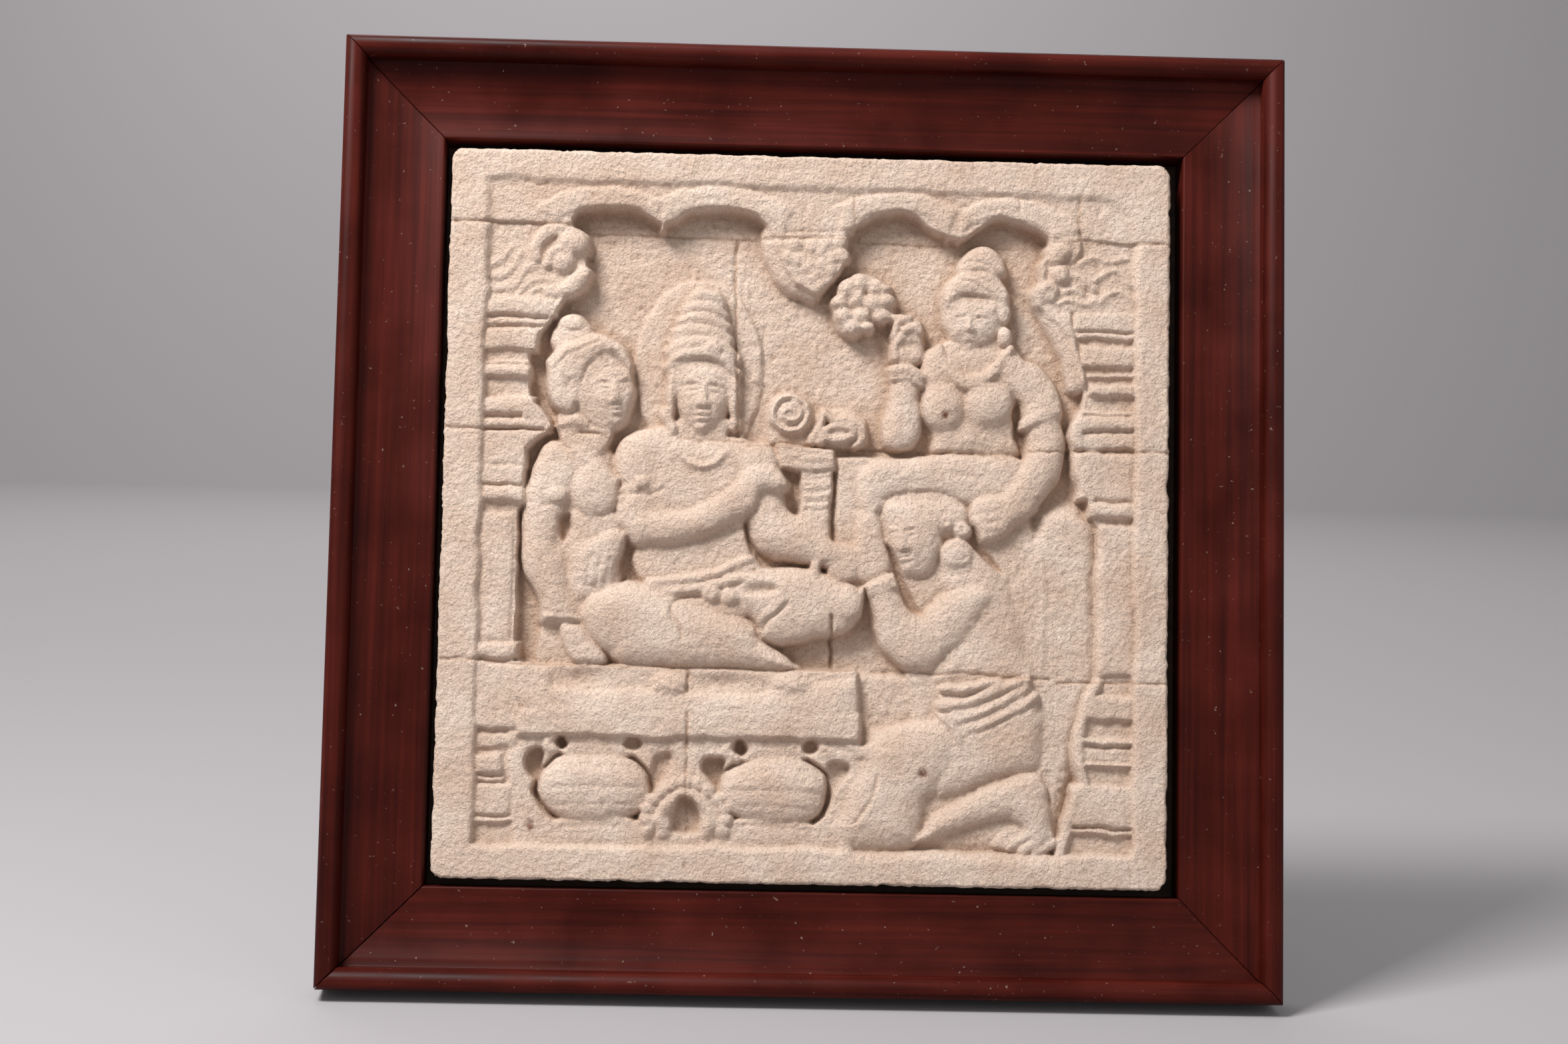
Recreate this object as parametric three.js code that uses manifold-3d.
// Cast stone relief plaque in a mitred hardwood frame, made to hang on a wall.
// Millimetres, +Z up, the relief faces -Y. The origin is the middle of the flat
// back, on the wall plane y = 0.
import * as THREE from 'three';
import { ConvexGeometry } from 'three/addons/geometries/ConvexGeometry.js';
import { mergeVertices } from 'three/addons/utils/BufferGeometryUtils.js';
import Module from 'manifold-3d';

const wasm = await Module();
wasm.setup();

// ---------------------------------------------------------------- dimensions
const FRAME_SIDE = 430;        // outside of the frame, square
const FRAME_DEPTH = 34;        // wall to the front of the outer bead
const RAIL_WIDTH = 46;         // outer edge to inner lip
const BEAD_WIDTH = 10;         // half-round bead along the outer edge
const LIP_FRONT = 25;          // wall to the front of the inner lip
const QUIRK_FRONT = 24;        // wall to the foot of the bead
const HOLLOW_FRONT = 22.4;     // wall to the lowest line of the scooped flat
const REBATE_WIDTH = 8;        // step cut behind the lip for the board
const BOARD_THICK = 5;
const BOARD_PLAY = 0.5;        // board edge to rebate wall

const STONE_LEFT = -166;
const STONE_RIGHT = 163.5;
const STONE_TOP = 165;
const STONE_FOOT = -166;
const STONE_CORNER = 5.5;
const BORDER_FRONT = 27;       // wall to the flat border of the stone
const GROUND = -13;            // sunk ground, measured from the border's face
const PANEL_LEFT = -148;       // inner edges of the border
const PANEL_RIGHT = 148;
const PANEL_TOP = 151;
const PANEL_FOOT = -151;
const SPANDREL = -2.4;         // flat above the arches
const POT_GROUND = -4.5;       // flat behind the pots
const SKIRT_GROUND = -8;       // shallow ground at the right-hand figures
const JOINT_WIDTH = 1.1;       // cast course lines
const JOINT_DEPTH = 1.2;
const SHORTEST_EDGE = 0.25;    // slivers narrower than this are closed up
const FLATNESS = 0.05;

// ---------------------------------------------------------------- solids
const solidOf = (geometry) => {
  const g = geometry.clone();
  g.deleteAttribute('normal');
  g.deleteAttribute('uv');
  const m = mergeVertices(g, 1e-5);
  return new wasm.Manifold(new wasm.Mesh({
    numProp: 3,
    vertProperties: Float32Array.from(m.attributes.position.array),
    triVerts: Uint32Array.from(m.index.array),
  }));
};

const geometryOf = (solid) => {
  const mesh = solid.getMesh();
  const g = new THREE.BufferGeometry();
  const flat = new Float32Array(mesh.triVerts.length * 3);
  mesh.triVerts.forEach((v, i) => {
    for (let k = 0; k < 3; k++) flat[3 * i + k] = mesh.vertProperties[mesh.numProp * v + k];
  });
  g.setAttribute('position', new THREE.BufferAttribute(flat, 3));
  g.computeVertexNormals();
  return g;
};

// Where forms cross, slivers narrower than a sand grain are left. Each edge
// shorter than `shortest`, and each corner that lies within `flatness` of the
// faces round it, is closed up, wherever that keeps the skin whole and turns
// no face over.
const withoutSlivers = (solid, shortest, flatness) => {
  const mesh = solid.getMesh();
  const at = Array.from({ length: mesh.vertProperties.length / mesh.numProp }, (_, i) => new THREE.Vector3()
    .fromArray(mesh.vertProperties, i * mesh.numProp));
  const faces = Array.from({ length: mesh.triVerts.length / 3 }, (_, i) => [...mesh.triVerts.subarray(3 * i, 3 * i + 3)]);
  const facesAt = at.map(() => new Set());
  faces.forEach((f, i) => f.forEach((v) => facesAt[v].add(i)));
  const neighbours = (v) => {
    const near = new Set();
    for (const i of facesAt[v]) for (const w of faces[i]) if (w !== v) near.add(w);
    return near;
  };
  const normal = (f, moved, to) => {
    const [p, q, r] = f.map((v) => (v === moved ? at[to] : at[v]));
    return new THREE.Vector3().subVectors(q, p).cross(new THREE.Vector3().subVectors(r, p));
  };
  const close = (gone, kept) => {
    const near = neighbours(kept);
    const shared = [...neighbours(gone)].filter((v) => near.has(v));
    if (shared.length !== 2) return false;
    const dropped = [...facesAt[gone]].filter((i) => faces[i].includes(kept));
    const moved = [...facesAt[gone]].filter((i) => !faces[i].includes(kept));
    for (const i of moved) {
      const before = normal(faces[i]);
      const after = normal(faces[i], gone, kept);
      if (after.length() < 1e-6) return false;
      if (before.length() > 1e-2 && before.normalize().dot(after.normalize()) < 0.5) return false;
    }
    for (const i of dropped) {
      faces[i].forEach((v) => facesAt[v].delete(i));
      faces[i] = null;
    }
    for (const i of moved) {
      faces[i] = faces[i].map((v) => (v === gone ? kept : v));
      facesAt[kept].add(i);
    }
    facesAt[gone].clear();
    return true;
  };
  // How far off the faces round `gone` its skin would move.
  const strays = (gone, kept) => Math.max(...[...facesAt[gone]].map((i) => {
    const n = normal(faces[i]);
    return n.length() < 1e-4 ? 0 : Math.abs(n.normalize().dot(new THREE.Vector3().subVectors(at[kept], at[faces[i][0]])));
  }));
  const closes = (a, b) => (at[a].distanceTo(at[b]) < shortest || strays(a, b) < flatness) && close(a, b);
  for (let pass = 0; pass < 6; pass++) {
    for (let i = 0; i < faces.length; i++) {
      for (let k = 0; faces[i] && k < 3; k++) {
        const [a, b] = [faces[i][k], faces[i][(k + 1) % 3]];
        if (closes(a, b) || closes(b, a)) break;
      }
    }
  }
  const g = new THREE.BufferGeometry();
  g.setAttribute('position', new THREE.Float32BufferAttribute(at.flatMap((p) => p.toArray()), 3));
  g.setIndex(faces.filter(Boolean).flat());
  return g.toNonIndexed();
};

// Distance from the wall of a level given from the border's face.
const front = (level) => BORDER_FRONT + level;

// A flat-faced piece: an outline in x, z standing from `back` to `level`.
const plate = (outline, level, back = 9, holes = []) => {
  const shape = new THREE.Shape(outline.map(([x, z]) => new THREE.Vector2(x, z)));
  for (const hole of holes) shape.holes.push(new THREE.Path(hole.map(([x, z]) => new THREE.Vector2(x, z))));
  const g = new THREE.ExtrudeGeometry(shape, { depth: front(level) - back, bevelEnabled: false, steps: 1 });
  g.rotateX(Math.PI / 2);
  g.translate(0, -back, 0);
  return solidOf(g);
};
const box = (x0, x1, z0, z1, level, back) => plate([[x0, z0], [x1, z0], [x1, z1], [x0, z1]], level, back);

const ellipse = (x, z, rx, rz, turn = 0, count = 16) => Array.from({ length: count }, (_, i) => {
  const a = (2 * Math.PI * i) / count;
  const c = Math.cos((turn * Math.PI) / 180);
  const s = Math.sin((turn * Math.PI) / 180);
  const u = rx * Math.cos(a);
  const v = rz * Math.sin(a);
  return [x + u * c - v * s, z + u * s + v * c];
});

// A rounded form cast in a mould: a domed front over walls that go straight
// back. Each station is [x, z, rx, level, rz, turn]; the form is the skin
// stretched over its stations.
const BACK_OF_FORMS = 9;
const form = (stations, dome, count = 10) => {
  const points = [];
  for (const [x, z, rx, level, rz = rx, turn = 0] of stations) {
    const deep = Math.min(dome, front(level) - BACK_OF_FORMS - 0.5);
    points.push(new THREE.Vector3(x, -front(level), z));
    for (const k of count > 9 ? [0.48, 0.84, 1] : [0.66, 1]) {
      const drop = deep * (1 - Math.sqrt(1 - k * k));
      for (const [px, pz] of ellipse(x, z, rx * k, rz * k, turn, count)) {
        points.push(new THREE.Vector3(px, -(front(level) - drop), pz));
      }
    }
    for (const [px, pz] of ellipse(x, z, rx, rz, turn, count)) {
      points.push(new THREE.Vector3(px, -BACK_OF_FORMS, pz));
    }
  }
  return solidOf(new ConvexGeometry(points));
};

// A limb, roll or strap: forms stretched between each station and the next,
// each starting a hair inside the one before so that the two cross cleanly.
const INSIDE = 0.96;
const limb = (stations, dome, count = 8) => stations.slice(1).map((s, i) => {
  const [x, z, rx, level, rz = rx, turn = 0] = stations[i];
  const start = i === 0 ? stations[0] : [x + 0.07, z - 0.05, rx * INSIDE, level - 0.25, rz * INSIDE, turn];
  return form([start, s], dome, count);
});

// A horizontal moulding with a rounded face.
const roll = (x0, x1, z0, z1, level, drop = 1.6) => {
  const mid = (z0 + z1) / 2;
  const half = (z1 - z0) / 2;
  const section = [[z0, 9], [z1, 9], [z1, front(level) - drop], [mid + half * 0.6, front(level) - drop * 0.3],
    [mid, front(level)], [mid - half * 0.6, front(level) - drop * 0.3], [z0, front(level) - drop]];
  return bar(section, x0, x1);
};

// A section in z and distance from the wall, run along x.
const bar = (section, x0, x1) => {
  const shape = new THREE.Shape(section.map(([z, d]) => new THREE.Vector2(z, d)));
  const g = new THREE.ExtrudeGeometry(shape, { depth: x1 - x0, bevelEnabled: false, steps: 1 });
  g.applyMatrix4(new THREE.Matrix4().set(
    0, 0, 1, x0,
    0, -1, 0, 0,
    1, 0, 0, 0,
    0, 0, 0, 1,
  ));
  return solidOf(g);
};

const joined = (start, ...more) => more.flat(3).reduce((sum, s) => sum.add(s), start);

// ---------------------------------------------------------------- slab
const roundedOutline = (x0, x1, z0, z1, r, count = 4) => {
  const pts = [];
  for (const [cx, cz, a0] of [[x1 - r, z1 - r, 0], [x0 + r, z1 - r, 90], [x0 + r, z0 + r, 180], [x1 - r, z0 + r, 270]]) {
    for (let i = 0; i <= count; i++) {
      const a = ((a0 + (90 * i) / count) * Math.PI) / 180;
      pts.push([cx + r * Math.cos(a), cz + r * Math.sin(a)]);
    }
  }
  return pts;
};
const stoneOutline = roundedOutline(STONE_LEFT, STONE_RIGHT, STONE_FOOT, STONE_TOP, STONE_CORNER);

// The slab up to the sunk ground, and the border that stands round it with one
// swept inner corner at the upper right.
const slab = plate(stoneOutline, GROUND, BOARD_THICK);
const border = plate(stoneOutline, 0, 9, [[
  [PANEL_LEFT, PANEL_FOOT], [PANEL_LEFT, PANEL_TOP], [118, PANEL_TOP - 1], [133, 149], [142, 145],
  [146, 138], [PANEL_RIGHT, 128], [PANEL_RIGHT, PANEL_FOOT],
]]);

// ---------------------------------------------------------------- arches
// Each arch: middle, half width, spring and crown of its underside, then half
// width, spring and crown of the line over its rim.
const ARCHES = [
  { mid: -92, half: 23, spring: 131, crown: 139.5, rimMid: -95, rimHalf: 33, rimSpring: 133, rimCrown: 148.5 },
  { mid: -43, half: 26, spring: 130, crown: 140, rimMid: -43, rimHalf: 33, rimSpring: 136, rimCrown: 149.5 },
  { mid: 39, half: 23, spring: 129.5, crown: 140, rimMid: 38, rimHalf: 33, rimSpring: 136, rimCrown: 148.5 },
  { mid: 88, half: 21, spring: 129.5, crown: 137, rimMid: 90, rimHalf: 34, rimSpring: 130, rimCrown: 147.5 },
];
const arc = (mid, half, spring, crown, x0, x1, count) => Array.from({ length: count + 1 }, (_, i) => {
  const x = x0 + ((x1 - x0) * i) / count;
  return [x, spring + (crown - spring) * Math.sqrt(Math.max(0, 1 - ((x - mid) / half) ** 2))];
});
const undersideOf = (a) => arc(a.mid, a.half, a.spring, a.crown, a.mid - a.half, a.mid + a.half, 10);
const [archOne, archTwo, archThree, archFour] = ARCHES;
const spandrels = plate([
  [PANEL_LEFT - 1, 129], ...undersideOf(archOne), ...undersideOf(archTwo), [-15, 118], [-9, 106], [2, 102],
  [8, 109], [15, 118], ...undersideOf(archThree), ...undersideOf(archFour),
  [112, 129], [PANEL_RIGHT + 1, 129], [PANEL_RIGHT + 1, PANEL_TOP + 1], [PANEL_LEFT - 1, PANEL_TOP + 1],
], SPANDREL);
const rims = [[archOne, -126, -70], [archTwo, -69, -13], [archThree, 13, 66], [archFour, 67, 122]].map(([a, x0, x1]) => {
  const over = arc(a.rimMid, a.rimHalf, a.rimSpring, a.rimCrown, x0, x1, 10);
  const under = arc(a.mid, a.half, a.spring, a.crown, Math.max(x0, a.mid - a.half), Math.min(x1, a.mid + a.half), 10);
  return plate([...over, ...under.reverse()], -0.9);
});

// The flower drop between the middle arches.
const drop = [[-7.5, 121, 7], [8.5, 121.5, 7], [1, 110, 6]]
  .map(([x, z, r]) => form([[x, z, r, -1]], 4, 6));

// ---------------------------------------------------------------- left pilaster
// Capital foliage: leafy block, curled leaf ends and a leaf tip.
const leftCapital = [
  plate([[-149, 98], [-113, 98], [-104, 105], [-104, 112], [-108, 118], [-104, 124], [-108, 131], [-149, 131]], -4.5),
  form([[-109, 123, 8, -0.6]], 7),
  form([[-113.5, 113.5, 5.5, -1.2]], 5, 8),
  form([[-106, 107, 3.5, -1.6], [-117, 101, 4.5, -2]], 4, 6),
  form([[-127, 112, 5.5, -2.2], [-143, 105, 4.5, -2.6]], 4, 6),
];
// Stacked mouldings, top to foot: [foot z, top z, right edge, level, rounded].
const LEFT_BANDS = [
  [88, 97, -116, -1.6, false], [82, 88, -119, -3.2, false], [72, 82, -124, -1.8, false], [67, 72, -128, -4.2, false],
  [59, 67, -128, -1.4, true], [52, 59, -130, -4.4, false], [43, 52, -128, -1.6, true], [37, 43, -122, -2.6, false],
  [20, 37, -130, -1.8, false], [12, 20, -129, -3, false], [2, 12, -128, -1.8, true], [-60, 2, -131.5, -3, false],
  [-68, -60, -129, -1.8, true], [-98, -68, -128, -2.2, false], [-108, -98, -131, -2.8, false],
  [-118, -108, -134, -1.8, true], [-126, -118, -136, -3.2, false], [-138, -126, -134, -2.2, false],
  [-151, -138, -127, -4.2, false],
];
const leftPilaster = LEFT_BANDS.map(([z0, z1, x1, level, rounded]) => (rounded
  ? roll(PANEL_LEFT - 1, x1, z0, z1, level)
  : box(PANEL_LEFT - 1, x1, z0, z1, level)));

// ---------------------------------------------------------------- right pilaster
const rightCapital = [
  plate([[149, 97], [149, 130], [110, 130], [105, 122], [108, 117], [101, 108], [103, 99], [110, 95]], -4.5),
  form([[113, 124, 6.5, -1]], 6),
  form([[112.5, 114, 5.5, -1.2]], 5, 8),
  form([[107, 105, 5.5, -1.4]], 5, 8),
  form([[121, 119, 4.5, -2], [143, 117, 4.5, -2.5]], 4, 6),
  form([[121, 107, 5.5, -1.8], [143, 105, 5, -2.4]], 4, 6),
];
const garland = form([[104, 98, 4.5, -5], [118, 62, 4, -6]], 3.5, 6);
const RIGHT_BANDS = [
  [87, 97, 119, -2, false], [80.5, 87, 121, -3.4, false], [71, 80.5, 122, -1.8, false], [67, 71, 125, -4.2, false],
  [62, 67, 126, -2.4, true], [56.5, 62, 125, -1.8, false], [51, 56.5, 122, -4.4, false], [43, 51, 122, -1.6, true],
  [31, 43, 121, -2.4, false], [9, 31, 124, -2.2, false], [1, 9, 128, -1.8, true], [-70, 1, 131, -3.2, false],
  [-82, -70, 129, -2.2, false], [-90, -82, 127, -3, false], [-98, -90, 124, -4, false], [-101, -98, 121, -2.2, false],
  [-108, -101, 122, -4.4, false], [-110, -108, 121, -2.4, false], [-119, -110, 123, -4.4, false],
  [-138, -119, 119, -2.4, false], [-142, -138, 117, -3.2, false], [-151, -142, 114, -4.6, false],
];
const rightPilaster = RIGHT_BANDS.map(([z0, z1, x0, level, rounded]) => (rounded
  ? roll(x0, PANEL_RIGHT + 1, z0, z1, level)
  : box(x0, PANEL_RIGHT + 1, z0, z1, level)));

// ---------------------------------------------------------------- seated king
const halo = plate(ellipse(-51, 66, 29, 42, 0, 28), -11);
const CROWN_ROLLS = [[98, 8], [91, 11], [83, 13.5]];
const kingHead = [
  form([[-49, 53, 13, -1.2, 19]], 10, 12),
  CROWN_ROLLS.map(([z, half]) => form([[-48, z, half, -3.4, 5]], 6, 8)),
  form([[-50, 74.5, 16, -2.4, 4]], 6),
  form([[-49, 36, 9, -4.5], [-50, 26, 13, -4.2]], 6),
];
const kingTorso = [
  form([[-74, 21, 12.5, -4], [-32, 22, 11, -4], [-52, 12, 22, -2.2, 16], [-50, -14, 21, -3.4, 13]], 8, 12),
  limb([[-60, 29, 2, -1.8], [-49, 22, 2, -0.9], [-37, 28.5, 2, -1.8]], 1.6, 6),
];
const kingArms = [
  form([[-77, 20, 10.4, -2.6], [-73.5, -6, 9.6, -0.4]], 7, 8),
  form([[-76, 10, 11, -0.2, 2.6]], 3, 8),
  limb([[-73, -6.5, 9, -0.2], [-54, -5, 8.4, 0.2], [-34, 4, 7.2, 0.6]], 6),
  form([[-24, 13.5, 12, 0.8, 8, 38]], 5, 10),
  limb([[-26, 16, 9, -2.4], [-15, -8, 12, -1.6], [7, -18, 6.2, -0.9], [9, -26, 4.6, -0.8]], 6),
];
const kingLap = [
  box(-100, 14, -72, -34, -6.5),
  form([[-46, -24, 26, -4.4, 9]], 4, 8),
  limb([[-62, -32, 3.2, -2.4], [-42, -29.5, 3.2, -1.6], [-26, -23, 3, -2.4]], 2.4, 6),
  form([[-41, -36, 4.6, -1], [-33, -36.5, 4.4, -1]], 3, 6),
  form([[-84, -50, 18, 0.8, 17.5], [-64, -47, 15, 0.2, 14]], 9, 12),
  form([[-74, -57, 11, 0.6], [-30, -60.5, 8.2, 0.4], [-6, -65.5, 4.2, -1]], 6, 8),
  form([[-8, -41, 15.5, -0.4, 15.5], [15, -40.5, 10.5, -0.6, 11.5]], 8, 12),
  form([[-32, -41, 3.4, -2], [-21, -54, 3.2, -1.8]], 2.4, 6),
];

// ---------------------------------------------------------------- scrolled back of the seat
const seatBack = [
  form([[-9, 46, 9.4, -5.2]], 3, 12),
  form([[6, 38, 4, -5.4], [19, 43, 6, -5]], 2.4, 8),
  box(-15, 11.5, 22, 31.5, -4.6),
  box(-4, 14, -14, 22, -5.6),
  roll(-6, 11, 13, 18, -4.4), roll(-5, 10, 6, 10, -4.4), roll(-5, 10, 1, 5, -4.6),
];

// ---------------------------------------------------------------- left attendant
const attendant = [
  form([[-109, 82, 9.6, -3.2]], 7, 10),
  form([[-102, 60, 17.5, -3, 20, 20], [-94, 56, 14, -1.6, 18, 8]], 9, 12),
  limb([[-118, 69, 2.6, -2.8], [-109, 77, 2.8, -1.8], [-99, 81, 2.4, -2.8]], 2, 6),
  form([[-91, 53, 11.5, -0.6, 15.5, 6]], 8, 12),
  form([[-108, 42, 6.4, -2.6, 4.2]], 3, 6),
  form([[-99, 36, 9, -5], [-101, 26, 12, -4.6]], 6),
  form([[-111, 20, 10, -3.8], [-96, 20, 9, -3.8], [-99, -4, 12.5, -3.6], [-98, -34, 12, -6]], 7, 10),
  form([[-97, 9, 11, -0.4]], 8, 10),
  limb([[-119, 17, 10, -3], [-120.5, -14, 10, -1.4], [-115.5, -37, 8.6, -1.6], [-111, -51, 8.4, -2.2]], 7),
  form([[-119, 6.5, 11, -0.8, 3.6]], 3, 8),
  form([[-110, -49.5, 8.8, -1.4, 2.4]], 2, 6),
  form([[-110, -55, 7, -2.6], [-96, -66, 4, -3.6]], 4, 6),
  form([[-94, -15, 9, -0.6, 8]], 6, 8),
  form([[-95, -20, 8.4, -1.2], [-95, -28, 8, -1.8, 5]], 2, 8),
  box(-120, -84, -72, -34, -7.5),
];

// ---------------------------------------------------------------- bench and pots
const BENCH_LEFT = -128;
const BENCH_RIGHT = 23.5;
const bench = [
  bar([[-101, 9], [-68, 9], [-68, front(-6.5)], [-79, front(-4.6)], [-88, front(-0.6)], [-90, front(-0.2)],
    [-99, front(-0.4)], [-101, front(-1.8)]], BENCH_LEFT, BENCH_RIGHT),
  form([[-62, -77.5, 9, -1, 7]], 5, 8),
  form([[-7, -76.5, 10, -1, 6.5]], 5, 8),
];
const potWall = box(PANEL_LEFT - 1, 24, PANEL_FOOT - 1, -100, POT_GROUND);
const POTS = [{ x: -93.5, rx: 24.5 }, { x: -13.5, rx: 23.5 }];
const POT_Z = -124.5;
const POT_RZ = 16;
const moats = POTS.map(({ x, rx }) => plate(ellipse(x, POT_Z + 1, rx + 2.4, POT_RZ + 3, 0, 20), 2, front(-10.5)));
const pots = POTS.map(({ x, rx }) => [
  form([[x, POT_Z, rx, -0.6, POT_RZ]], 9, 16),
  box(x - 13, x + 13, -109, -100, -3.6),
  roll(x - 15, x + 15, -111, -107, -2.6),
  box(x - 16, x + 15.5, -147.5, -138, -3.4),
]);
// Sunk spaces beside the handles: [x, z, rx, rz].
const HANDLE_SPACES = [
  [-121.5, -114, 4.6, 8], [-109, -104, 3.4, 3.8], [-77, -104, 3.6, 4], [-63.5, -115, 5.4, 7],
  [-40.5, -116, 5.4, 8], [-29, -105, 3.4, 3.6], [3, -105, 3.2, 3.4], [14.5, -119, 5.4, 8],
].map(([x, z, rx, rz]) => plate(ellipse(x, z, rx, rz, 0, 12), 2, front(-11.5)));
// The wreath standing between the pots.
const wreathHole = plate(ellipse(-53, -137, 5.6, 7.6, 0, 12), 2, front(-11));
const wreath = Array.from({ length: 5 }, (_, i) => {
  const a = Math.PI * (-0.1 + (1.2 * i) / 4);
  return form([[-53 + 12.5 * Math.cos(a), -136.5 + 10 * Math.sin(a), 6.6, -1.6]], 4, 6);
});

// ---------------------------------------------------------------- standing woman
const woman = [
  form([[78, 119, 10, -3.6, 7]], 6, 10),
  form([[74, 106, 16, -2.4, 9]], 7, 12),
  form([[72.5, 90, 12.5, -1, 14]], 9, 12),
  form([[88, 87, 4.2, -2.6, 6]], 3, 6),
  form([[73, 78, 10, -4.6], [73, 68, 13, -4.4]], 6),
  form([[58, 65, 9, -4], [92, 64, 10, -4], [75, 46, 20, -2.8, 16], [74, 32, 18, -4, 10]], 8, 12),
  limb([[61, 71, 2, -2.6], [73, 60.5, 2.2, -1], [88, 73, 2, -2.6]], 1.8, 6),
  form([[61, 50, 9.4, 0.4]], 8, 10),
  form([[80.5, 51.5, 11, 0.6]], 9, 10),
  form([[55, 62, 8, -4], [43, 38, 9, -2.8]], 6, 8),
  limb([[43, 37, 9.6, -2], [43.5, 64, 7.2, -1.8], [44, 77, 7, -1.8]], 6),
  form([[43.5, 66, 8, -1, 2.6]], 2, 6),
  form([[43.5, 80, 5.5, -2], [42, 89, 5, -2.6]], 2, 6),
  limb([[98, 64, 9, -3.4], [108, 33, 9.4, -1.4], [89, 4, 7.4, -0.3]], 6),
  form([[105, 46.5, 9.4, -1, 2.8, 24]], 3, 6),
  form([[82, 1, 9.4, 0, 9]], 5, 8),
  form([[44, 16, 12, -6.4], [70, 18, 34, -4.6, 15], [92, 10, 14, -5]], 6, 12),
  plate([[24, 30], [105, 30], [103, -3], [108, -20], [110.5, -60], [113, -85], [116.5, -122], [112, -151], [24, -151]], SKIRT_GROUND),
];
const BOUQUET = [[15, 101, 7], [24.5, 105, 7], [31, 97, 7], [20, 91, 6.5]];
const bouquet = [
  BOUQUET.map(([x, z, r]) => form([[x, z, r, -2.4]], 5, 8)),
  form([[34, 92, 3, -3.4], [42, 90, 2.6, -3.4]], 2, 6),
];
const skirtSide = plate([[100, 31], [133, 31], [133, -151], [100, -151]], SKIRT_GROUND - 1.4);

// ---------------------------------------------------------------- kneeling man
const kneelingMan = [
  form([[33, 19.5, 9.5, -2.6, 8.5], [52, 18.5, 10, -1.8, 9.5], [66, 12, 8, -2.8, 7]], 7, 10),
  limb([[34, 9.5, 2.4, -1.6], [62, 10, 2.6, -1], [73, 3, 2.4, -2.4]], 2, 6),
  form([[46, -8, 15, -0.8, 17.5, -8], [60, -1, 12, -2, 12]], 9, 12),
  form([[67, -16, 7.6, -0.8, 7]], 5, 8),
  form([[24.5, -2, 4.6, -2.2], [26.5, -24, 8, -1.8, 7]], 5, 8),
  form([[33, -29.5, 7.4, -0.6, 3, -40]], 2, 6),
  form([[34, -33, 7.4, -1.4], [52, -58, 9, -0.4]], 6, 8),
  form([[80, -32, 12.5, -1.8], [54, -58.5, 9.6, -0.3]], 7, 8),
  form([[81, -28, 13, -2.6], [85, -50, 14.5, -2.2], [85, -72, 17, -2.2]], 8, 10),
  form([[60, -80, 3.4, -2], [98, -76.5, 4, -1]], 3, 6),
  form([[62, -88, 3.4, -2], [102, -80, 3.8, -1.2]], 3, 6),
  form([[87, -92, 20, -1, 17], [76, -100, 18, -0.8, 14]], 8, 12),
  form([[64, -99, 16, -1, 13], [44, -112, 21, -0.4, 19, 20], [28, -134, 15.5, -0.2, 16]], 9, 12),
  form([[40, -139, 9.4, 0.2], [72, -128.5, 11, 0.2], [99, -121.5, 9, -0.4]], 7, 8),
  form([[103, -123, 8, -0.8], [107, -143, 5, -1.4]], 5, 6),
  form([[25, -107, 6, -3.4, 5, 30]], 3, 6),
];

// ---------------------------------------------------------------- stone
const courseCut = (x0, x1, z) => box(x0, x1, z - JOINT_WIDTH / 2, z + JOINT_WIDTH / 2, 3, front(-JOINT_DEPTH));
const COURSES = [[-167, -126, 131], [124, 165, 128], [-167, -149, 36.5], [149, 165, 32], [-167, -149, -68], [149, 165, -73]];
const carved = joined(slab, border, potWall).subtract(joined(moats[0], moats[1], HANDLE_SPACES));
const stoneSolid = joined(
  carved, spandrels, rims, drop, leftCapital, leftPilaster, rightCapital, garland, rightPilaster,
  halo, skirtSide, woman, bouquet, kingHead, kingTorso, seatBack, attendant, kingLap, kingArms, bench, pots,
  kneelingMan, wreath,
).subtract(wreathHole).subtract(joined(...COURSES.map(([x0, x1, z]) => courseCut(x0, x1, z))));

// ---------------------------------------------------------------- frame rails
// Section of one rail: u runs in from the outer edge, d is distance from the
// wall. Bead, quirk, scooped flat, eased lip, then the rebate for the board.
const railSection = (() => {
  const section = [[0, 0], [0, FRAME_DEPTH - BEAD_WIDTH / 2]];
  for (let i = 1; i < 8; i++) {
    const a = Math.PI * (1 - i / 8);
    section.push([BEAD_WIDTH / 2 + (BEAD_WIDTH / 2) * Math.cos(a), FRAME_DEPTH - BEAD_WIDTH / 2 + (BEAD_WIDTH / 2) * Math.sin(a)]);
  }
  section.push([BEAD_WIDTH, FRAME_DEPTH - BEAD_WIDTH / 2], [BEAD_WIDTH, QUIRK_FRONT + 0.8]);
  const scoop = 8;
  for (let i = 0; i <= scoop; i++) {
    const t = i / scoop;
    const u = BEAD_WIDTH + 1.4 + (RAIL_WIDTH - 3.4 - BEAD_WIDTH) * t;
    const rim = QUIRK_FRONT + (LIP_FRONT - QUIRK_FRONT) * t;
    section.push([u, rim - (rim - HOLLOW_FRONT) * Math.sin(Math.PI * t)]);
  }
  section.push([RAIL_WIDTH - 0.6, LIP_FRONT - 0.8], [RAIL_WIDTH, LIP_FRONT - 2.4], [RAIL_WIDTH, BOARD_THICK],
    [RAIL_WIDTH - REBATE_WIDTH, BOARD_THICK], [RAIL_WIDTH - REBATE_WIDTH, 0]);
  return section.reverse();
})();

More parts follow.
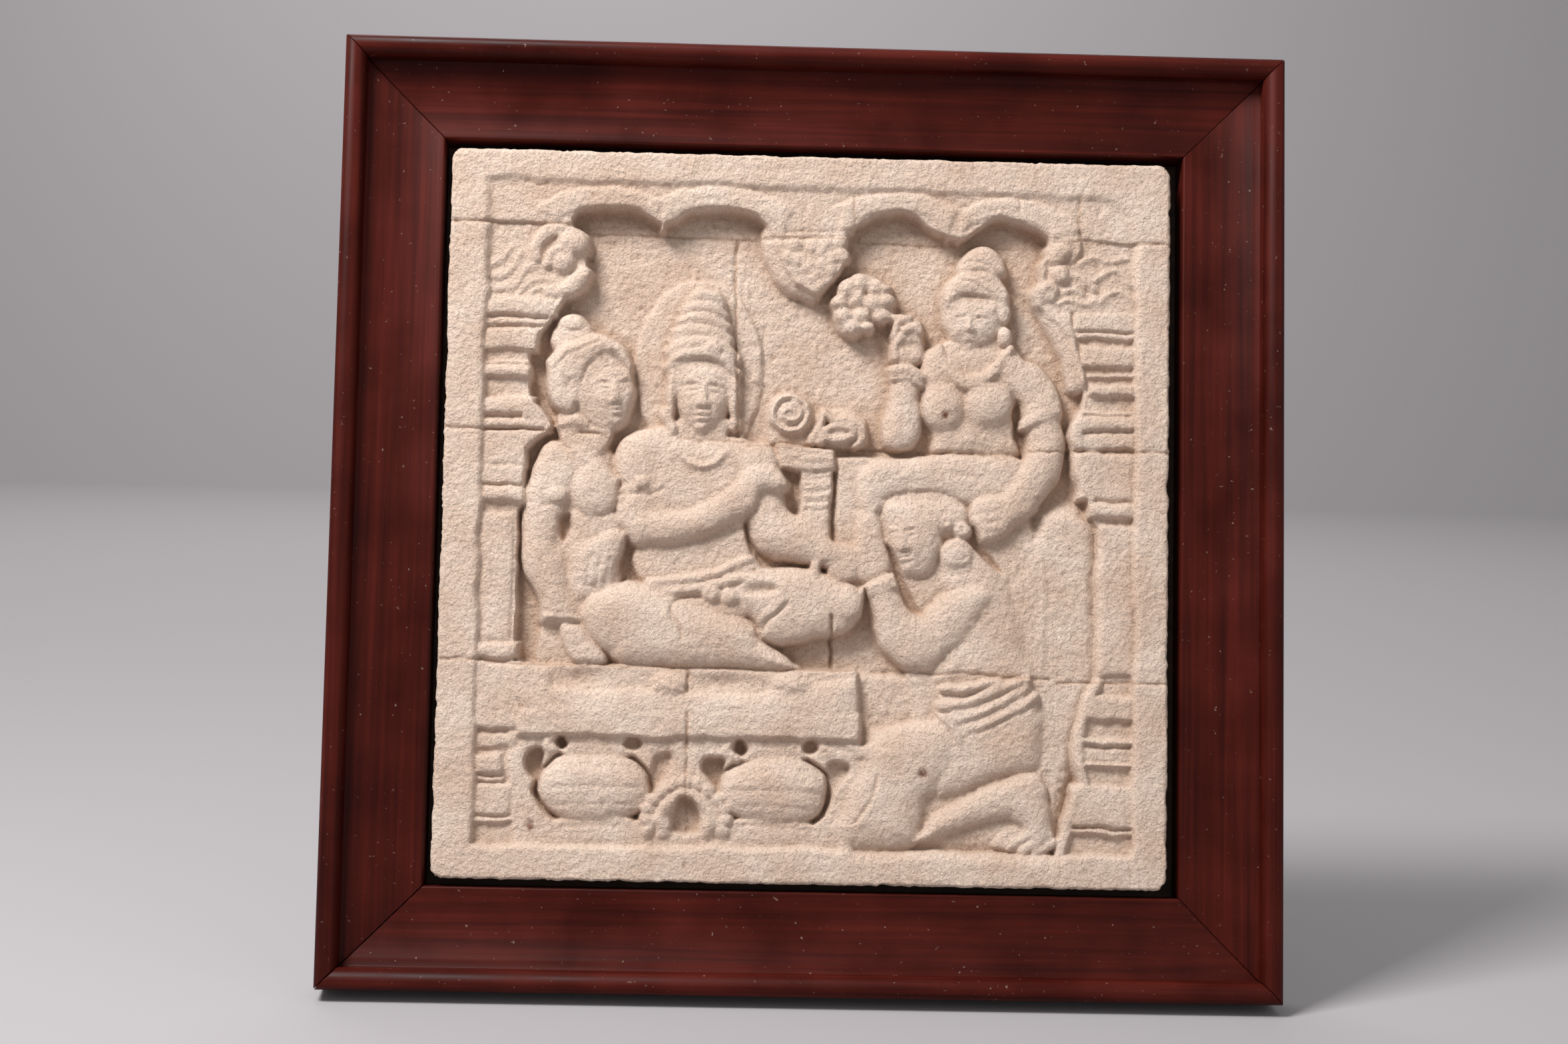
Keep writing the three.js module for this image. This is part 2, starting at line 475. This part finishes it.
// The section is run along the rail and its ends follow the two mitres, so
// every section point slides in along x by its own distance from the edge.
const railGeometry = (quarterTurns) => {
  const n = railSection.length;
  const half = FRAME_SIDE / 2;
  const position = [];
  const index = [];
  for (const side of [-1, 1]) {
    for (const [u, d] of railSection) position.push(side * (half - u), -d, half - u);
  }
  for (let i = 0; i < n; i++) {
    const j = (i + 1) % n;
    index.push(i, i + n, j, j, i + n, j + n);
  }
  const flat = railSection.map(([u, d]) => new THREE.Vector2(u, d));
  for (const [a, b, c] of THREE.ShapeUtils.triangulateShape(flat, [])) {
    index.push(a, b, c, c + n, b + n, a + n);
  }
  const g = new THREE.BufferGeometry();
  g.setAttribute('position', new THREE.Float32BufferAttribute(position, 3));
  g.setIndex(index);
  g.rotateY(quarterTurns * Math.PI / 2);
  return g;
};

// Sets the triangles facing outward and gives flat normals.
const finished = (geometry) => {
  const solid = solidOf(geometry);
  return geometryOf(solid);
};

// ---------------------------------------------------------------- materials
const wood = (tone) => new THREE.MeshStandardMaterial({ color: tone, roughness: 0.45, metalness: 0 });
const parts = [
  ['frame_rail_top', finished(railGeometry(0)), wood('#42130f')],
  ['frame_rail_right', finished(railGeometry(1)), wood('#42130f')],
  ['frame_rail_bottom', finished(railGeometry(2)), wood('#42130f')],
  ['frame_rail_left', finished(railGeometry(3)), wood('#42130f')],
  ['backing_board', (() => {
    const side = FRAME_SIDE - 2 * (RAIL_WIDTH - REBATE_WIDTH + BOARD_PLAY);
    const g = new THREE.BoxGeometry(side, BOARD_THICK, side);
    g.translate(0, -BOARD_THICK / 2, 0);
    return finished(g);
  })(), new THREE.MeshStandardMaterial({ color: '#1b120f', roughness: 0.9, metalness: 0 })],
  ['stone_relief', finished(withoutSlivers(stoneSolid, SHORTEST_EDGE, FLATNESS)), new THREE.MeshStandardMaterial({ color: '#d9c7b2', roughness: 0.95, metalness: 0 })],
];

const panel = new THREE.Group();
panel.name = 'stone_relief_panel';
for (const [name, geometry, material] of parts) {
  const mesh = new THREE.Mesh(geometry, material);
  mesh.name = name;
  panel.add(mesh);
}

export default panel;
